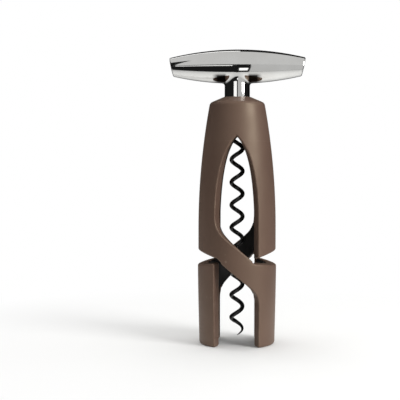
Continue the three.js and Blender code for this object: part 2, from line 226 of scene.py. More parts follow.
@dataclass
class Skin:
    """A closed surface of quads where a field is zero, with the field's own normals."""

    points: Array
    faces: list[tuple[int, ...]]
    normals: Array
    caps: set[int] = field(default_factory=set)
    BAND: ClassVar[float] = 4.0
    RELAX: ClassVar[float] = 0.6
    ROUNDS: ClassVar[int] = 4
    REACH: ClassVar[float] = 0.3

    @classmethod
    def of(cls, signed: Field, low: Vector, high: Vector, step: float) -> Skin:
        """Skins a field inside a box.

        Args:
            signed: Field of signed distance, negative inside the body.
            low: Lowest corner of the box.
            high: Highest corner of the box.
            step: Spacing of the samples.

        Returns:
            The skin, with its vertices moved onto the surface.
        """
        margin = cls.BAND * step
        start = np.array(low) - margin
        counts = np.ceil((np.array(high) + margin - start) / step).astype(int) + 1
        axes = [start[i] + step * np.arange(counts[i]) for i in range(3)]
        x, y, z = np.meshgrid(*axes, indexing="ij", sparse=True)
        values = np.clip(signed(x, y, z) / step, -cls.BAND, cls.BAND).astype(np.float32)
        grid = openvdb.FloatGrid(cls.BAND)
        grid.copyFromArray(np.ascontiguousarray(values))
        cells, quads = grid.convertToQuads(isovalue=0.0)
        quads = quads.astype(int)
        points = start + step * cells.astype(float)
        ends = np.concatenate([quads[:, [i, (i + 1) % 4]] for i in range(4)])
        degree = np.bincount(ends.ravel(), minlength=len(points))[:, None]
        for turn in range(cls.ROUNDS):
            if turn < cls.ROUNDS - 1:
                near = np.zeros_like(points)
                np.add.at(near, ends[:, 0], points[ends[:, 1]])
                np.add.at(near, ends[:, 1], points[ends[:, 0]])
                points = (1 - cls.RELAX) * points + cls.RELAX * near / degree
            for _ in range(2):
                slope = cls.gradient(signed, points, step)
                size = np.maximum(np.sum(slope * slope, axis=1), 1e-6)
                move = signed(*points.T)[:, None] * slope / size[:, None]
                points = points - np.clip(move, -0.4 * step, 0.4 * step)
        slope = cls.gradient(signed, points, step)
        normals = slope / np.maximum(np.linalg.norm(slope, axis=1), 1e-9)[:, None]
        a, b, c = (points[quads[:, i]] for i in range(3))
        facing = np.sum(np.cross(b - a, c - b) * normals[quads[:, 0]])
        ordered = quads if facing > 0 else quads[:, ::-1]
        return cls(points, [tuple(int(i) for i in q) for q in ordered], normals)

    @staticmethod
    def gradient(signed: Field, points: Array, step: float) -> Array:
        """The field's slope at each point, by central differences.

        Args:
            signed: Field of signed distance.
            points: Places, one row each.
            step: Spacing of the samples that the skin was made with.

        Returns:
            One slope for each point.
        """
        reach = Skin.REACH * step
        slopes = []
        for axis in range(3):
            offset = np.zeros(3)
            offset[axis] = reach
            ahead = signed(*(points + offset).T)
            behind = signed(*(points - offset).T)
            slopes.append((ahead - behind) / (2 * reach))
        return np.stack(slopes, axis=1)

    def parted(self, height: float, above: bool) -> Skin:
        """One side of the skin, cut at a height and closed with a flat cap.

        Args:
            height: Height of the cut.
            above: True to keep what is above it.

        Returns:
            The closed part.
        """
        bm = bmesh.new()
        layer = bm.verts.layers.float_vector.new("normal")
        verts = []
        for point, normal in zip(self.points, self.normals):
            vert = bm.verts.new(point)
            vert[layer] = normal
            verts.append(vert)
        for face in self.faces:
            bm.faces.new([verts[i] for i in face])
        cut = bmesh.ops.bisect_plane(
            bm,
            geom=bm.verts[:] + bm.edges[:] + bm.faces[:],
            plane_co=(0, 0, height),
            plane_no=(0, 0, 1),
            clear_inner=above,
            clear_outer=not above,
        )
        rim = [item for item in cut["geom_cut"] if isinstance(item, bmesh.types.BMEdge)]
        closed = bmesh.ops.holes_fill(bm, edges=rim, sides=0)["faces"]
        bmesh.ops.recalc_face_normals(bm, faces=bm.faces[:])
        bm.verts.index_update()
        bm.faces.index_update()
        caps = {face.index for face in closed}
        points = np.array([v.co for v in bm.verts])
        normals = np.array([v[layer] for v in bm.verts])
        normals /= np.maximum(np.linalg.norm(normals, axis=1), 1e-9)[:, None]
        faces = [tuple(v.index for v in face.verts) for face in bm.faces]
        bm.free()
        return Skin(points, faces, normals, caps)

    def piece_at(self, seed: int) -> Skin:
        """The connected part that holds one vertex.

        Args:
            seed: Index of the vertex.

        Returns:
            That part alone.
        """
        label = np.arange(len(self.points))
        pairs = np.array([(f[i - 1], f[i]) for f in self.faces for i in range(len(f))])
        while True:
            lowest = label.copy()
            np.minimum.at(lowest, pairs[:, 0], label[pairs[:, 1]])
            np.minimum.at(lowest, pairs[:, 1], label[pairs[:, 0]])
            lowest = lowest[lowest]
            if np.array_equal(lowest, label):
                break
            label = lowest
        kept = label == label[seed]
        renumbered = np.cumsum(kept) - 1
        chosen = [i for i, face in enumerate(self.faces) if kept[face[0]]]
        faces = [tuple(int(renumbered[v]) for v in self.faces[i]) for i in chosen]
        caps = {k for k, i in enumerate(chosen) if i in self.caps}
        return Skin(self.points[kept], faces, self.normals[kept], caps)

    def turned(self) -> Skin:
        """A copy turned half a turn about the upright axis."""
        turn = np.array([-1.0, -1.0, 1.0])
        return Skin(self.points * turn, self.faces, self.normals * turn, self.caps)

    def mesh_object(self, name: str, material: bpy.types.Material) -> bpy.types.Object:
        """A Blender object of this skin, at the origin.

        Args:
            name: Name of the piece.
            material: Its finish.

        Returns:
            The linked object.
        """
        mesh = bpy.data.meshes.new(name)
        mesh.from_pydata(self.points.tolist(), [], self.faces)
        mesh.materials.append(material)
        mesh.shade_smooth()
        for index in self.caps:
            mesh.polygons[index].use_smooth = False
        upright = {
            loop: mesh.polygons[index].normal.copy()
            for index in self.caps
            for loop in mesh.polygons[index].loop_indices
        }
        mesh.normals_split_custom_set([
            tuple(upright.get(i, self.normals[loop.vertex_index]))
            for i, loop in enumerate(mesh.loops)
        ])
        return linked(name, mesh)


# ---- Materials ----


@dataclass
class Shader:
    """A material in the making: its tree, its surface shader and its object coordinates."""

    name: str
    material: bpy.types.Material = field(init=False)
    surface: bpy.types.Node = field(init=False)
    place: Socket = field(init=False)

    def __post_init__(self) -> None:
        """Makes the material with its surface shader."""
        self.material = bpy.data.materials.new(self.name)
        self.material.use_nodes = True
        self.surface = self.material.node_tree.nodes["Principled BSDF"]
        self.place = self.node("ShaderNodeTexCoord").outputs["Object"]

    def node(self, kind: str, **settings: object) -> bpy.types.Node:
        """A new node.

        Args:
            kind: Blender's name for it.
            settings: Its properties.

        Returns:
            The node.
        """
        made = self.material.node_tree.nodes.new(kind)
        for key, value in settings.items():
            setattr(made, key, value)
        return made

    def link(self, source: Socket, target: Socket) -> None:
        """Joins two sockets."""
        self.material.node_tree.links.new(source, target)

    def noise(
        self, scale: float, detail: float = 3.0, stretch: Triple = (1, 1, 1)
    ) -> Socket:
        """Noise over the object's own coordinates.

        Args:
            scale: Waves to a metre.
            detail: Octaves.
            stretch: Scale along each axis.

        Returns:
            The noise's value socket.
        """
        mapping = self.node("ShaderNodeMapping")
        mapping.inputs["Scale"].default_value = stretch
        self.link(self.place, mapping.inputs["Vector"])
        texture = self.node("ShaderNodeTexNoise")
        texture.inputs["Scale"].default_value = scale
        texture.inputs["Detail"].default_value = detail
        self.link(mapping.outputs["Vector"], texture.inputs["Vector"])
        return texture.outputs["Fac"]

    def ramp(
        self, source: Socket, stops: list[tuple[float, Triple]]
    ) -> Socket:
        """Colours for a value.

        Args:
            source: The value.
            stops: Positions and their colours.

        Returns:
            The colour socket.
        """
        made = self.node("ShaderNodeValToRGB")
        elements = made.color_ramp.elements
        while len(elements) < len(stops):
            elements.new(0.5)
        for element, (position, colour) in zip(elements, stops):
            element.position = position
            element.color = (*colour, 1.0)
        self.link(source, made.inputs["Fac"])
        return made.outputs["Color"]

    def spread(
        self, source: Socket, low: float, high: float, span: tuple[float, float] = (0.3, 0.7)
    ) -> Socket:
        """A value mapped between two numbers.

        Args:
            source: The value.
            low: Result at the start of the span.
            high: Result at the end of the span.
            span: The part of the source's range that is used.

        Returns:
            The result's socket.
        """
        made = self.node("ShaderNodeMapRange")
        made.inputs["From Min"].default_value, made.inputs["From Max"].default_value = span
        made.inputs["To Min"].default_value, made.inputs["To Max"].default_value = low, high
        self.link(source, made.inputs["Value"])
        return made.outputs["Result"]

    def product(self, *factors: Socket) -> Socket:
        """Values multiplied together, in their order.

        Args:
            factors: The values' sockets.

        Returns:
            The product's socket.
        """
        total = factors[0]
        for factor in factors[1:]:
            made = self.node("ShaderNodeMath", operation="MULTIPLY")
            self.link(total, made.inputs[0])
            self.link(factor, made.inputs[1])
            total = made.outputs[0]
        return total

    def over(self, base: Socket, colour: Triple, share: Socket) -> Socket:
        """One colour laid over another.

        Args:
            base: The lower colour's socket.
            colour: The upper colour.
            share: How much of the upper colour shows.

        Returns:
            The mixed colour's socket.
        """
        mix = self.node("ShaderNodeMix", data_type="RGBA")
        self.link(share, mix.inputs["Factor"])
        self.link(base, mix.inputs[6])
        mix.inputs[7].default_value = (*colour, 1.0)
        return mix.outputs[2]

    def coat(self, colour: Socket, roughness: Socket) -> None:
        """Gives the surface its colour and roughness."""
        self.link(colour, self.surface.inputs["Base Color"])
        self.link(roughness, self.surface.inputs["Roughness"])

    def bump(self, heights: list[tuple[Socket, float]]) -> None:
        """Relief from several heights, one over the other.

        Args:
            heights: Height sockets and the depth of each in metres.
        """
        normal = None
        for source, depth in heights:
            made = self.node("ShaderNodeBump")
            made.inputs["Distance"].default_value = depth
            self.link(source, made.inputs["Height"])
            if normal is not None:
                self.link(normal, made.inputs["Normal"])
            normal = made.outputs["Normal"]
        self.link(normal, self.surface.inputs["Normal"])

    def set(self, **values: float) -> None:
        """Constants on the surface shader's own sockets, with spaces for underscores."""
        for key, value in values.items():
            self.surface.inputs[key.replace("_", " ")].default_value = value


@dataclass(frozen=True)
class SoftTouchPaint:
    """Satin brown soft-touch paint over moulded plastic, rubbed paler on its edges."""

    dark: Triple = (0.096, 0.054, 0.040)
    light: Triple = (0.110, 0.063, 0.047)
    rubbed: Triple = (0.165, 0.110, 0.082)
    glint: Triple = (1.0, 0.86, 0.64)
    roughness: float = 0.50

    def material(self) -> bpy.types.Material:
        """The finished material.

        Returns:
            The material.
        """
        shader = Shader("soft_touch_brown")
        tone = shader.ramp(shader.noise(38, 4), [(0.3, self.dark), (0.7, self.light)])
        edges = shader.node("ShaderNodeNewGeometry").outputs["Pointiness"]
        wear = shader.spread(edges, 0.0, 0.8, (0.515, 0.56))
        patchy = shader.product(wear, shader.spread(shader.noise(220, 3), 0.1, 1.0, (0.4, 0.62)))
        sheen = shader.spread(shader.noise(70, 5), self.roughness - 0.05, self.roughness + 0.06)
        shader.coat(shader.over(tone, self.rubbed, patchy), sheen)
        shader.set(Specular_IOR_Level=0.75, Sheen_Weight=0.05, Sheen_Roughness=0.5)
        shader.surface.inputs["Specular Tint"].default_value = (*self.glint, 1.0)
        shader.surface.inputs["Sheen Tint"].default_value = (*self.glint, 1.0)
        shader.bump([(shader.noise(2600, 2), 0.0000025), (shader.noise(300, 2), 0.000004)])
        return shader.material


@dataclass(frozen=True)
class PolishedChrome:
    """Bright chrome plate with faint wiping marks, and dark patches under the crossbar.

    The patches stand in for dark reflections beside the neck. They are painted, so they stay where
    they are in every view.
    """

    tint: Triple = (0.80, 0.80, 0.785)
    shade: Triple = (0.74, 0.735, 0.715)
    patch: Triple = (0.020, 0.019, 0.018)
    patch_end: tuple[float, float] = (12.5 * MM, 16.0 * MM)
    patch_start: tuple[float, float] = (6.6 * MM, 7.8 * MM)
    patch_depth: tuple[float, float] = (6.6 * MM, 5.0 * MM)

    def material(self, axis: float) -> bpy.types.Material:
        """The finished material.

        Args:
            axis: Height of the crossbar's axis, under which the painted patches lie.

        Returns:
            The material.
        """
        shader = Shader("polished_chrome")
        tone = shader.ramp(shader.noise(60, 4), [(0.35, self.shade), (0.65, self.tint)])
        parts = shader.node("ShaderNodeSeparateXYZ")
        shader.link(shader.place, parts.inputs["Vector"])
        aside = shader.node("ShaderNodeMath", operation="ABSOLUTE")
        shader.link(parts.outputs["X"], aside.inputs[0])
        inner = shader.spread(aside.outputs[0], 1.0, 0.0, self.patch_end)
        low, high = (axis - depth for depth in self.patch_depth)
        under = shader.spread(parts.outputs["Z"], 1.0, 0.0, (low, high))
        beside_neck = shader.spread(aside.outputs[0], 0.0, 1.0, self.patch_start)
        patches = shader.product(inner, under, beside_neck)
        smears = shader.spread(shader.noise(120, 5, (0.25, 1, 1)), 0.035, 0.11, (0.45, 0.75))
        shader.coat(shader.over(tone, self.patch, patches), smears)
        shader.set(Metallic=1.0)
        shader.bump([
            (shader.noise(900, 2, (0.12, 1, 1)), 0.0000012),
            (shader.noise(60, 1), 0.000008),
        ])
        return shader.material


@dataclass(frozen=True)
class SlipCoating:
    """Black slippery coating on the worm, worn to steel round its ground point."""

    black: Triple = (0.0075, 0.0075, 0.0070)
    steel: Triple = (0.42, 0.42, 0.41)
    worn_height: float = 4.0 * MM

    def material(self, tip: float) -> bpy.types.Material:
        """The finished material.

        Args:
            tip: Height of the worm's point.

        Returns:
            The material.
        """
        shader = Shader("slip_coating")
        height = shader.node("ShaderNodeSeparateXYZ")
        shader.link(shader.place, height.inputs["Vector"])
        low = shader.spread(height.outputs["Z"], 0.9, 0.0, (tip, tip + self.worn_height))
        speckle = shader.spread(shader.noise(1400, 3), 0.0, 1.0, (0.45, 0.6))
        worn = shader.product(low, speckle)
        colour = shader.ramp(worn, [(0.0, self.black), (1.0, self.steel)])
        shader.coat(colour, shader.spread(shader.noise(260, 4), 0.24, 0.36))
        shader.link(worn, shader.surface.inputs["Metallic"])
        shader.bump([(shader.noise(2200, 3), 0.000012)])
        return shader.material


@dataclass(frozen=True)
class MouldedBlack:
    """Black plastic with the fine grain of a spark-eroded mould."""

    dark: Triple = (0.008, 0.0075, 0.007)
    light: Triple = (0.015, 0.0145, 0.0135)
    roughness: float = 0.5

    def material(self) -> bpy.types.Material:
        """The finished material.

        Returns:
            The material.
        """
        shader = Shader("moulded_black")
        tone = shader.ramp(shader.noise(90, 4), [(0.3, self.dark), (0.7, self.light)])
        grain = shader.noise(3200, 2)
        shader.coat(tone, shader.spread(grain, self.roughness - 0.08, self.roughness + 0.08))
        shader.bump([(grain, 0.00002)])
        return shader.material


@dataclass(frozen=True)
class TurnedSteel:
    """Machined steel with fine turning marks round the upright axis."""

    tint: Triple = (0.50, 0.50, 0.49)
    shade: Triple = (0.38, 0.38, 0.375)

    def material(self) -> bpy.types.Material:
        """The finished material.

        Returns:
            The material.
        """
        shader = Shader("turned_steel")
        tone = shader.ramp(shader.noise(150, 3), [(0.35, self.shade), (0.65, self.tint)])
        rings = shader.node("ShaderNodeTexWave", wave_type="RINGS", rings_direction="Z")
        rings.inputs["Scale"].default_value = 900
        rings.inputs["Distortion"].default_value = 0.6
        shader.link(shader.place, rings.inputs["Vector"])
        shader.coat(tone, shader.spread(rings.outputs["Fac"], 0.26, 0.42, (0, 1)))
        shader.set(Metallic=1.0)
        shader.bump([(rings.outputs["Fac"], 0.000004)])
        return shader.material


@dataclass
class Finishes:
    """Every finish of the corkscrew, each made once."""

    brown: bpy.types.Material
    black: bpy.types.Material
    chrome: bpy.types.Material
    steel: bpy.types.Material
    coating: bpy.types.Material

    @classmethod
    def made(cls) -> Finishes:
        """Makes the materials.

        Returns:
            The set of finishes.
        """
        bar_low, bar_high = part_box("handle_bar")
        return cls(
            brown=SoftTouchPaint().material(),
            black=MouldedBlack().material(),
            chrome=PolishedChrome().material((bar_low.z + bar_high.z) / 2),
            steel=TurnedSteel().material(),
            coating=SlipCoating().material(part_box("worm")[0].z),
        )


# ---- The frame ----


@dataclass
class GripFrame:
    """Crown and crossed arms: one revolved wall with two windows on each face and side grooves."""

    finishes: Finishes
    groove_height: float = 55.4 * MM
    groove_gap: float = 3.6 * MM
    groove_mouth: float = 9.4 * MM
    groove_rise: float = 0.7 * MM
    band_half: float = 9.15 * MM
    band_slope: float = 0.88
    band_drop: float = 0.65 * MM
    band_fillet: float = 7.0 * MM
    upper_half: float = 13.7 * MM
    lower_half: float = 14.3 * MM
    draft: float = 0.027 / MM
    groove_tip: float = 3.7 * MM
    tip_drop: float = 0.75 * MM
    widest: float = 75.0 * MM
    window_spring: float = 8.0 * MM
    point_rise: float = 3.2 * MM
    foot_taper: float = 1.0 * MM
    root_bore: float = 13.3 * MM
    crown_wall: float = 3.15 * MM
    neck_room: float = 0.35 * MM
    shoulder_drop: float = 3.9 * MM
    core_room: float = 0.3 * MM
    liner_wall: float = 1.6 * MM
    liner_gap: float = 0.3 * MM
    liner_rim: float = 2.4 * MM
    window_edge: float = 1.1 * MM
    crown_edge: float = 1.5 * MM
    foot_edge: float = 1.5 * MM
    skin_step: float = 0.5 * MM
    bend_length: float = 30.0 * MM
    upper_map: OutlineMap = field(init=False)
    lower_map: OutlineMap = field(init=False)

    def __post_init__(self) -> None:
        """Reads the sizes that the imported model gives, and maps the windows."""
        arm_low, arm_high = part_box("front_arm_shell")
        crown_low, crown_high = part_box("crown_shell")
        liner_low, liner_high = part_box("front_arm_liner")
        core_low, core_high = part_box("crown_core")
        neck_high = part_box("handle_neck")[1]
        self.upper_radius = -arm_low.x
        self.leg_radius = arm_high.x
        self.seam = (arm_high.z + crown_low.z) / 2
        self.shoulder = crown_high.z - self.shoulder_drop
        self.point = self.seam + self.point_rise
        self.liner_low, self.liner_high = liner_low.z, liner_high.z
        self.liner_outer = max(-liner_low.x, liner_high.x)
        self.jaw_radius = self.liner_outer - self.liner_wall
        self.core_radius = core_high.x + self.core_room
        self.ceiling = core_high.z + self.core_room
        self.core_low = core_low.z
        self.neck_hole = neck_high.x + self.neck_room
        self.crown_radius = self.core_radius + self.crown_wall
        self.leg_top = self.groove_height - self.groove_gap / 2
        self.upper_foot = self.groove_height + self.groove_gap / 2
        self.window_face = math.sqrt(self.upper_radius**2 - self.upper_half**2)
        low, high = (-22 * MM, -14 * MM), (22 * MM, self.point + 6 * MM)
        self.upper_map = OutlineMap.of(self.upper_window(), low, high)
        self.lower_map = OutlineMap.of(self.lower_window(), low, high)

    def band_top(self, x: float) -> float:
        """Height of a crossing band's upper edge at a place across the front."""
        return self.groove_height - self.band_drop + self.band_half - self.band_slope * x

    def band_bottom(self, x: float) -> float:
        """Height of a crossing band's lower edge at a place across the front."""
        return self.band_top(x) - 2 * self.band_half

    def upper_window(self) -> Outline:
        """Outline of the pointed window over the band, open into the right groove.

        Returns:
            Its corners in order.
        """
        half, fillet = self.upper_half, self.band_fillet
        springing = self.widest + self.window_spring
        rise = self.point - springing
        lean, high, low = 0.62 * half, self.point - 0.16 * rise, self.point - 0.5 * rise
        rim = [(0, self.point), (lean, high), (half, low), (half, springing)]
        corner = [
            (half - 1 * MM, self.leg_top),
            (half - 2 * MM, self.leg_top),
            (half - 4.2 * MM, self.band_top(half - 4.2 * MM)),
        ]
        inner = fillet - 1 * MM - half
        left = self.band_top(-half)
        turn = [(inner, self.band_top(inner)), (-half, left), (-half, left + fillet)]
        other_rim = [(-x, z) for x, z in reversed(rim)]
        return [
            *bezier(rim, 24),
            (half, springing),
            (half, self.leg_top),
            *bezier(corner, 8),
            *bezier(turn, 12),
            (-half, left + fillet),
            *bezier(other_rim, 24),
        ]

    def lower_window(self) -> Outline:
        """Outline of the space between the lower legs, open at the feet and left groove.

        Returns:
            Its corners in order.
        """
        half, fillet = self.lower_half, self.band_fillet
        inner = half + 2 * MM - fillet
        turn = [
            (inner, self.band_bottom(inner)),
            (half, self.band_bottom(half)),
            (half, self.band_bottom(half) + 1 * MM - fillet),
        ]
        below = -40 * MM
        return [
            (-half, below),
            (-half, self.leg_top - 1 * MM),
            (-half - 0.6 * MM, self.leg_top + 0.6 * MM),
            (-half + 1.4 * MM, self.band_bottom(-half + 1.4 * MM)),
            *bezier(turn, 12),
            (half, self.band_bottom(half) + 1 * MM - fillet),
            (half, below),
        ]

    def radius(self, z: Array) -> Array:
        """Outer radius of the frame.

        Args:
            z: Heights.

        Returns:
            The radius at each height.
        """
        up = np.maximum(0.0, (z - self.widest) / (self.shoulder - self.widest))
        upper = self.upper_radius - (self.upper_radius - self.crown_radius) * up**2
        down = np.maximum(0.0, (self.leg_top - z) / self.leg_top)
        lower = self.leg_radius - self.foot_taper * down**1.4
        share = smooth_step(self.leg_top - 3 * MM, self.upper_foot + 4 * MM, z)
        return lower + (upper - lower) * share

    def cuts(self, x: Array, y: Array, z: Array, ease: float) -> list[Array]:
        """Distances into the material from each cut, positive where a cut removes it.

        Args:
            x, y, z: Places across, from front to back, and up.
            ease: How much wider the cuts are made.

        Returns:
            One array for each kind of cut.
        """
        share = 1.0 - self.draft * (self.window_face - np.abs(y))
        across = np.where(y < 0, x, -x) / share
        tall = z + 0.0 * across
        slope = (self.groove_mouth - self.groove_gap) / 2 / (self.upper_radius - self.upper_half)
        lift = self.groove_rise / (self.upper_radius - self.upper_half)
        beyond = np.abs(x) - self.upper_half
        past_tip = beyond + self.groove_tip
        tip = self.groove_height - self.tip_drop
        roof = np.minimum(self.upper_foot + (lift + slope) * beyond, tip + 0.9 * past_tip)
        floor = np.maximum(self.leg_top + (lift - slope) * beyond, tip - 0.42 * past_tip)
        wedge = np.maximum(np.maximum(z - roof, floor - z), -past_tip) + 0.0 * y
        return [
            ease - self.upper_map.at(across, tall),
            ease - self.lower_map.at(across, tall),
            ease - wedge,
        ]

    def rims(self, x: Array, y: Array, z: Array, width: float) -> Array:
        """How far a place lies inside the brown rims that the legs keep along their cut edges.

        Args:
            x, y, z: Places across, from front to back, and up.
            width: Width of the rims.

        Returns:
            Distances, positive inside a rim.
        """
        share = 1.0 - self.draft * (self.window_face - np.abs(y))
        beside = np.abs(x) / share - self.upper_half + 0.5 * MM
        upper, lower, _ = self.cuts(x, y, z, width)
        return np.minimum(np.maximum(upper, lower), beside)

    def shell_field(self, x: Array, y: Array, z: Array) -> Array:
        """Signed distance to the brown shell of the whole frame.

        Args:
            x, y, z: Places across, from front to back, and up.

        Returns:
            Distances, negative inside.
        """
        r = np.sqrt(x * x + y * y)
        slope = self.shoulder_drop / (self.crown_radius - self.neck_hole)
        dome = (z - self.shoulder - slope * (self.crown_radius - r)) / math.hypot(1, slope)
        wall = smooth_max(r - self.radius(z), dome, self.crown_edge)
        heights = [self.liner_high, self.liner_high + 2 * MM, self.seam, self.core_low - 1 * MM]
        bores = [self.jaw_radius, self.jaw_radius, self.root_bore, self.core_radius]
        bore = np.interp(z, heights, bores)
        cavity = np.minimum(np.maximum(r - bore, z - self.ceiling), r - self.neck_hole)
        lined = np.maximum(r - self.liner_outer, z - self.liner_high) - self.liner_gap
        pocket = np.maximum(lined, self.rims(x, y, z, self.liner_rim - self.liner_gap))
        cavity = np.minimum(cavity, pocket)
        wall = smooth_max(wall, -cavity, 0.5 * MM)
        wall = smooth_max(wall, -z + 0.0 * wall, self.foot_edge)
        for cut in self.cuts(x, y, z, 0.0):
            wall = smooth_max(wall, cut, self.window_edge)
        return wall

    def liner_field(self, x: Array, y: Array, z: Array) -> Array:
        """Signed distance to the black liners of the jaws.

        Args:
            x, y, z: Places across, from front to back, and up.

        Returns:
            Distances, negative inside.
        """
        r = np.sqrt(x * x + y * y)
        wall = smooth_max(r - self.liner_outer, self.jaw_radius - r, 0.4 * MM)
        ends = np.maximum(z - self.liner_high, self.liner_low - z)
        wall = smooth_max(wall, ends + 0.0 * wall, 0.5 * MM)
        for cut in [*self.cuts(x, y, z, 0.25 * MM), self.rims(x, y, z, self.liner_rim)]:
            wall = smooth_max(wall, cut, 0.6 * MM)
        return wall

    @staticmethod
    def front_half(skin: Skin) -> Skin:
        """The part of a skin that belongs to the front arm, whose lower leg is on the right."""
        feet = np.where(skin.points[:, 2] < 20 * MM, skin.points[:, 0], -1.0)
        return skin.piece_at(int(np.argmax(feet)))

    def build(self) -> None:
        """Skins the frame and its liners, and joins the crown and the liners to their bodies."""
        reach = self.leg_radius
        shell = Skin.of(
            self.shell_field,
            Vector((-reach, -reach, 0)),
            Vector((reach, reach, self.shoulder + self.shoulder_drop)),
            self.skin_step,
        )
        crown = shell.parted(self.seam, True).mesh_object("frame_crown", self.finishes.brown)
        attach(crown, Body.CROWN.value)
        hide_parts("crown_shell")
        arm = self.front_half(shell.parted(self.seam, False))
        reach = self.liner_outer
        lining = self.front_half(
            Skin.of(
                self.liner_field,
                Vector((-reach, -reach, self.liner_low)),
                Vector((reach, reach, self.liner_high)),
                self.skin_step,
            )
        )
        sides = [
            (Body.FRONT_ARM, arm, lining),
            (Body.BACK_ARM, arm.turned(), lining.turned()),
        ]
        for body, arm_skin, lining_skin in sides:
            limb = arm_skin.mesh_object(f"{body.value}_skin", self.finishes.brown)
            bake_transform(limb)
            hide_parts(f"{body.value}_shell")
            inside = lining_skin.mesh_object(f"{body.value}_lining", self.finishes.black)
            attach(inside, body.value)
            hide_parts(f"{body.value}_liner")
            LOG.info("%s: %d vertices", body.value, len(arm_skin.points))


# ---- The handle ----


@dataclass
class THandle:
    """Barrel-shaped crossbar with slanted ends and its neck, cast in one and chromed."""

    finishes: Finishes
    curve: float = 186.0 * MM
    slant: float = 0.21
    end_edge: float = 0.9 * MM
    neck_fillet: float = 2.0 * MM
    neck_edge: float = 0.8 * MM
    skin_step: float = 0.42 * MM

    def __post_init__(self) -> None:
        """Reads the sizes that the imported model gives."""
        bar_low, bar_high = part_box("handle_bar")
        neck_low, neck_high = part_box("handle_neck")
        self.radius = bar_high.y
        self.axis = bar_high.z - self.radius
        self.half = bar_high.x
        self.neck_radius = neck_high.x
        self.neck_low, self.neck_high = neck_low.z, neck_high.z
        self.low = Vector((bar_low.x, bar_low.y, neck_low.z))
        self.high = bar_high

    def signed(self, x: Array, y: Array, z: Array) -> Array:
        """Signed distance to the handle.

        Args:
            x, y, z: Places across, from front to back, and up.

        Returns:
            Distances, negative inside.
        """
        sag = self.curve - np.sqrt(self.curve**2 - np.minimum(np.abs(x), self.curve / 2) ** 2)
        barrel = np.sqrt(y * y + (z - self.axis) ** 2) - (self.radius - sag)
        end_radius = self.radius - self.curve + math.sqrt(self.curve**2 - self.half**2)
        middle = self.half - end_radius * self.slant
        ends = (np.abs(x) - middle - self.slant * (z - self.axis)) / math.hypot(1, self.slant)
        bar = smooth_max(barrel, ends + 0.0 * y, self.end_edge)
        r = np.sqrt(x * x + y * y)
        heights = np.maximum(z - self.neck_high, self.neck_low - z)
        neck = smooth_max(r - self.neck_radius, heights + 0.0 * r, self.neck_edge)
        return smooth_min(bar, neck, self.neck_fillet)

    def build(self) -> None:
        """Skins the handle and joins it to its body."""
        skin = Skin.of(self.signed, self.low, self.high, self.skin_step)
        piece = skin.mesh_object("t_handle", self.finishes.chrome)
        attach(piece, Body.HANDLE.value)
        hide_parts("handle_bar", "handle_neck")
        LOG.info("t_handle: %d vertices", len(skin.points))


# ---- The worm ----


@dataclass
class NodeMaths:
    """Short ways to write sums in a Geometry Nodes tree."""

    tree: bpy.types.NodeTree

    def add(self, kind: str, **settings: object) -> bpy.types.Node:
        """A new node with the given properties.

        Args:
            kind: Blender's name for it.
            settings: Its properties.

        Returns:
            The node.
        """
        made = self.tree.nodes.new(kind)
        for key, value in settings.items():
            setattr(made, key, value)
        return made

    def fed(self, kind: str, **inputs: Socket | float) -> Socket:
        """The first output of a new node.

        Args:
            kind: Blender's name for it.
            inputs: What goes into its inputs, with underscores for spaces.

        Returns:
            The output's socket.
        """
        made = self.add(kind)
        for name, value in inputs.items():
            self.put(value, made.inputs[name.replace("_", " ")])
        return made.outputs[0]

    def put(self, value: Socket | float, target: Socket) -> None:
        """Links a socket, or sets a number, on an input.

        Args:
            value: What goes in.
            target: The input's socket.
        """
        if isinstance(value, Socket):
            self.tree.links.new(value, target)
        else:
            target.default_value = value

    def maths(
        self, operation: str, a: Socket | float, b: Socket | float = 0.0
    ) -> Socket:
        """One step of arithmetic.

        Args:
            operation: Blender's name for it.
            a: First value.
            b: Second value.

        Returns:
            The result's socket.
        """
        made = self.add("ShaderNodeMath", operation=operation)
        self.put(a, made.inputs[0])
        self.put(b, made.inputs[1])
        return made.outputs[0]

    def rise(
        self, value: Socket, start: Socket, length: Socket
    ) -> Socket:
        """A straight rise from 0 to 1.

        Args:
            value: What is followed.
            start: Where the rise begins.
            length: How far it goes on.

        Returns:
            The result's socket.
        """
        made = self.add("ShaderNodeMapRange", clamp=True)
        self.put(value, made.inputs["Value"])
        self.put(start, made.inputs["From Min"])
        self.put(self.maths("ADD", start, length), made.inputs["From Max"])
        return made.outputs["Result"]


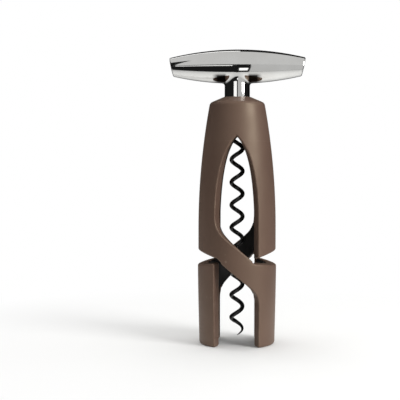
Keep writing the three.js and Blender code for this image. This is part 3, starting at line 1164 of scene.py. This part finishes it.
@dataclass
class Worm:
    """Open helix of round wire with a ground point, closing to a straight shank in the handle."""

    finishes: Finishes
    pitch: float = 14.7 * MM
    point_length: float = 9.0 * MM
    straighten: float = 7.0 * MM
    wire: float = 1.35 * MM
    closing_drop: float = 1.0 * MM
    rings: int = 620
    sides: int = 24

    def __post_init__(self) -> None:
        """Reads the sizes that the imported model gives."""
        low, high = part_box("worm")
        bush_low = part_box("guide_bush")[0]
        self.centre_radius = high.x - self.wire
        self.tip = low.z
        self.top = high.z
        self.closing = bush_low.z - self.closing_drop

    def tree(self) -> bpy.types.NodeTree:
        """The Geometry Nodes tree that winds the wire.

        Returns:
            The tree, with a named input for each size.
        """
        tree = bpy.data.node_groups.new("wound_worm", "GeometryNodeTree")
        names = ["Radius", "Wire", "Pitch", "Tip", "Top", "Point Length", "Closing", "Straighten"]
        for name in names:
            tree.interface.new_socket(name, in_out="INPUT", socket_type="NodeSocketFloat")
        for name in ("Rings", "Sides"):
            tree.interface.new_socket(name, in_out="INPUT", socket_type="NodeSocketInt")
        tree.interface.new_socket("Finish", in_out="INPUT", socket_type="NodeSocketMaterial")
        tree.interface.new_socket("Geometry", in_out="OUTPUT", socket_type="NodeSocketGeometry")
        sums = NodeMaths(tree)
        given = sums.add("NodeGroupInput").outputs
        start, end = (sums.fed("ShaderNodeCombineXYZ", Z=given[name]) for name in ("Tip", "Top"))
        line = sums.fed("GeometryNodeCurvePrimitiveLine", Start=start, End=end)
        stations = sums.fed("GeometryNodeResampleCurve", Curve=line, Count=given["Rings"])
        parts = sums.add("ShaderNodeSeparateXYZ")
        sums.put(sums.fed("GeometryNodeInputPosition"), parts.inputs[0])
        height = parts.outputs["Z"]
        turns = sums.maths("DIVIDE", sums.maths("SUBTRACT", height, given["Tip"]), given["Pitch"])
        angle = sums.maths("SUBTRACT", sums.maths("MULTIPLY", turns, 2 * math.pi), math.pi / 2)
        closed = sums.rise(height, given["Closing"], given["Straighten"])
        eased = sums.maths("COSINE", sums.maths("MULTIPLY", closed, math.pi))
        open_share = sums.maths("ADD", sums.maths("MULTIPLY", eased, 0.5), 0.5)
        radius = sums.maths("MULTIPLY", given["Radius"], open_share)
        across = sums.maths("MULTIPLY", radius, sums.maths("COSINE", angle))
        deep = sums.maths("MULTIPLY", radius, sums.maths("SINE", angle))
        wound = sums.fed("ShaderNodeCombineXYZ", X=across, Y=deep, Z=height)
        ground = sums.maths("POWER", sums.rise(height, given["Tip"], given["Point Length"]), 0.6)
        thickness = sums.maths("ADD", sums.maths("MULTIPLY", ground, 0.97), 0.03)
        sized = sums.fed("GeometryNodeSetCurveRadius", Curve=stations, Radius=thickness)
        placed = sums.fed("GeometryNodeSetPosition", Geometry=sized, Position=wound)
        profile = sums.fed(
            "GeometryNodeCurvePrimitiveCircle", Resolution=given["Sides"], Radius=given["Wire"]
        )
        tube = sums.fed(
            "GeometryNodeCurveToMesh",
            Curve=placed,
            Profile_Curve=profile,
            Scale=sums.fed("GeometryNodeInputRadius"),
            Fill_Caps=True,
        )
        smooth = sums.fed("GeometryNodeSetShadeSmooth", Geometry=tube)
        real = sums.fed("GeometryNodeRealizeInstances", Geometry=smooth)
        finished = sums.fed("GeometryNodeSetMaterial", Geometry=real, Material=given["Finish"])
        sums.put(finished, sums.add("NodeGroupOutput").inputs["Geometry"])
        return tree

    def build(self) -> None:
        """Winds the worm, makes it a plain mesh and joins it to its body."""
        tree = self.tree()
        piece = linked("worm_wire", bpy.data.meshes.new("worm_wire"))
        modifier = piece.modifiers.new("wound_worm", "NODES")
        modifier.node_group = tree
        values = {
            "Radius": self.centre_radius,
            "Wire": self.wire,
            "Pitch": self.pitch,
            "Tip": self.tip,
            "Top": self.top,
            "Point Length": self.point_length,
            "Closing": self.closing,
            "Straighten": self.straighten,
            "Rings": self.rings,
            "Sides": self.sides,
            "Finish": self.finishes.coating,
        }
        for item in tree.interface.items_tree:
            if item.in_out == "INPUT":
                modifier[item.identifier] = values[item.name]
        graph = bpy.context.evaluated_depsgraph_get()
        made = bpy.data.meshes.new_from_object(piece.evaluated_get(graph))
        piece.modifiers.clear()
        piece.data = made
        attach(piece, Body.HANDLE.value)
        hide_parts("worm")
        LOG.info("worm_wire: %d vertices", len(made.vertices))


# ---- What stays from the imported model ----


@dataclass
class Fittings:
    """The hidden pieces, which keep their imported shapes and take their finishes."""

    finishes: Finishes

    def dress(self) -> None:
        """Puts each finish in its node's material slot."""
        moulded = ("crown_core", "guide_bush")
        for name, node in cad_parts.items():
            for place in node.material_slots:
                place.material = self.finishes.black if name in moulded else self.finishes.steel


# ---- The studio ----


@dataclass(frozen=True)
class Card:
    """A flat panel that only shows in reflections."""

    name: str
    centre: Triple
    across: Triple
    up: Triple
    level: float

    def build(self) -> None:
        """Hangs the panel in the studio."""
        material = bpy.data.materials.new(self.name)
        material.use_nodes = True
        tree = material.node_tree
        tree.nodes.clear()
        glow = tree.nodes.new("ShaderNodeEmission")
        glow.inputs["Color"].default_value = (self.level, self.level, self.level, 1)
        out = tree.nodes.new("ShaderNodeOutputMaterial")
        tree.links.new(glow.outputs[0], out.inputs["Surface"])
        middle, u, v = Vector(self.centre), Vector(self.across) / 2, Vector(self.up) / 2
        rim = [middle - u - v, middle + u - v, middle + u + v, middle - u + v]
        panel = sheet(self.name, rim, material)
        for ray in ("camera", "diffuse", "shadow", "transmission"):
            setattr(panel, f"visible_{ray}", False)


@dataclass
class Studio:
    """A pale table, soft lights, panels that show in the chrome, and the camera."""

    eye: Triple = (7.9 * MM, -611 * MM, 120.7 * MM)
    turn: float = math.radians(3.0)
    tilt: float = math.radians(-2.6)
    lens: float = 84.6
    table_front: float = -0.205
    table_reach: float = 4.0
    fill_level: float = 0.58
    mirror_level: float = 0.012
    back_level: float = 1.0
    middle: ClassVar[Vector] = Vector((0, 0, 0.09))
    cards: tuple[Card, ...] = (
        Card("wall", (0.95, -1.0, 0.91), (3.10, 0, 0), (0, 0, 1.10), 0.66),
        Card("right_wall", (1.34, -0.95, -0.15), (2.48, 0, 0), (0, 0, 1.00), 0.58),
        Card("ceiling", (0.0, -0.20, 1.46), (3.2, 0, 0), (0, 1.60, 0), 0.66),
        Card("strip", (-0.75, 0.70, 1.30), (1.5, 0, 0), (0, 0.22, 0), 1.6),
        Card("pane", (-0.31, -0.97, 0.225), (0.52, 0, 0), (0, 0, 0.07), 1.3),
        Card("lamp", (0.024, -0.50, -0.03), (0.042, 0, 0), (0, 0, 0.17), 1.5),
    )

    def floor(self) -> None:
        """A pale table top that runs into a white background behind the object."""
        shader = Shader("pale_table")
        pale, paler = (0.80, 0.80, 0.79), (0.82, 0.82, 0.81)
        tone = shader.ramp(shader.noise(9, 4), [(0.3, pale), (0.7, paler)])
        shader.link(tone, shader.surface.inputs["Base Color"])
        shader.set(Roughness=0.6, Specular_IOR_Level=0.2)
        away = shader.node("ShaderNodeVectorMath", operation="LENGTH")
        shader.link(shader.place, away.inputs[0])
        distance = away.outputs["Value"]
        seen = shader.node("ShaderNodeLightPath").outputs["Is Camera Ray"]
        level = shader.node("ShaderNodeMix", data_type="FLOAT")
        shader.link(seen, level.inputs["Factor"])
        shader.link(shader.spread(distance, 0.50, 0.03, (0.25, 0.60)), level.inputs[2])
        level.inputs[3].default_value = 1.0
        glow = shader.node("ShaderNodeEmission")
        shader.link(level.outputs[0], glow.inputs["Strength"])
        mix = shader.node("ShaderNodeMixShader")
        shader.link(shader.spread(distance, 0.0, 1.0, (0.06, 0.26)), mix.inputs["Fac"])
        shader.link(shader.surface.outputs[0], mix.inputs[1])
        shader.link(glow.outputs[0], mix.inputs[2])
        out = shader.material.node_tree.nodes["Material Output"]
        shader.link(mix.outputs[0], out.inputs["Surface"])
        reach, front = self.table_reach, self.table_front
        edges = [(-reach, front, 0), (reach, front, 0), (reach, reach, 0), (-reach, reach, 0)]
        table = sheet("table_top", edges, shader.material)

    def room(self) -> None:
        """White behind the object, even fill light, and a dark room in the reflections."""
        world = bpy.data.worlds.new("room")
        bpy.context.scene.world = world
        world.use_nodes = True
        nodes, links = world.node_tree.nodes, world.node_tree.links
        nodes.clear()
        path = nodes.new("ShaderNodeLightPath")
        shaders = []
        for level in (self.fill_level, self.mirror_level, self.back_level):
            made = nodes.new("ShaderNodeBackground")
            made.inputs["Color"].default_value = (level, level, level, 1)
            shaders.append(made.outputs[0])
        mixed = shaders[0]
        for kind, other in (("Is Glossy Ray", shaders[1]), ("Is Camera Ray", shaders[2])):
            mix = nodes.new("ShaderNodeMixShader")
            links.new(path.outputs[kind], mix.inputs["Fac"])
            links.new(mixed, mix.inputs[1])
            links.new(other, mix.inputs[2])
            mixed = mix.outputs[0]
        links.new(mixed, nodes.new("ShaderNodeOutputWorld").inputs["Surface"])

    @staticmethod
    def softbox(
        name: str,
        place: Triple,
        size: tuple[float, float],
        power: float,
        mirrored: bool,
    ) -> None:
        """A rectangular soft light that faces the middle of the object.

        Args:
            name: Name of the light.
            place: Where it stands.
            size: Its width and height.
            power: Its power in watts.
            mirrored: Whether it shows in reflections.
        """
        lamp = bpy.data.lights.new(name, "AREA")
        lamp.shape = "RECTANGLE"
        lamp.size, lamp.size_y = size
        lamp.energy = power
        light = linked(name, lamp)
        light.location = place
        aim = Studio.middle - Vector(place)
        light.rotation_mode = "QUATERNION"
        light.rotation_quaternion = aim.to_track_quat("-Z", "Y")
        light.visible_glossy = mirrored

    def lights(self) -> None:
        """A tall softbox to the right of the camera and a weak one over the table."""
        self.softbox("key", (0.84, -0.54, 0.58), (0.45, 0.75), 10.0, True)
        self.softbox("overhead", (-0.1, 0.35, 1.1), (1.3, 1.0), 8.0, False)

    def camera(self) -> None:
        """The camera, level with the upper part of the object."""
        lens = bpy.data.cameras.new("camera")
        lens.lens = self.lens
        lens.clip_start, lens.clip_end = 0.01, 30
        camera = linked("camera", lens)
        camera.location = self.eye
        camera.rotation_euler = (math.pi / 2 + self.tilt, 0, self.turn)
        bpy.context.scene.camera = camera

    def set_up(self) -> None:
        """Builds the studio."""
        bpy.context.scene.view_settings.view_transform = "Standard"
        self.floor()
        self.room()
        for card in self.cards:
            card.build()
        self.lights()
        self.camera()


def corners(box: tuple[Vector, Vector]) -> list[list[float]]:
    """A box's two corners as plain lists."""
    return [list(corner) for corner in box]


def main() -> None:
    """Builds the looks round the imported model."""
    logging.basicConfig(level=logging.INFO, format="%(name)s: %(message)s")
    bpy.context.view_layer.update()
    Studio().set_up()
    finishes = Finishes.made()
    GripFrame(finishes).build()
    THandle(finishes).build()
    Worm(finishes).build()
    Fittings(finishes).dress()


if __name__ == "__main__":
    main()
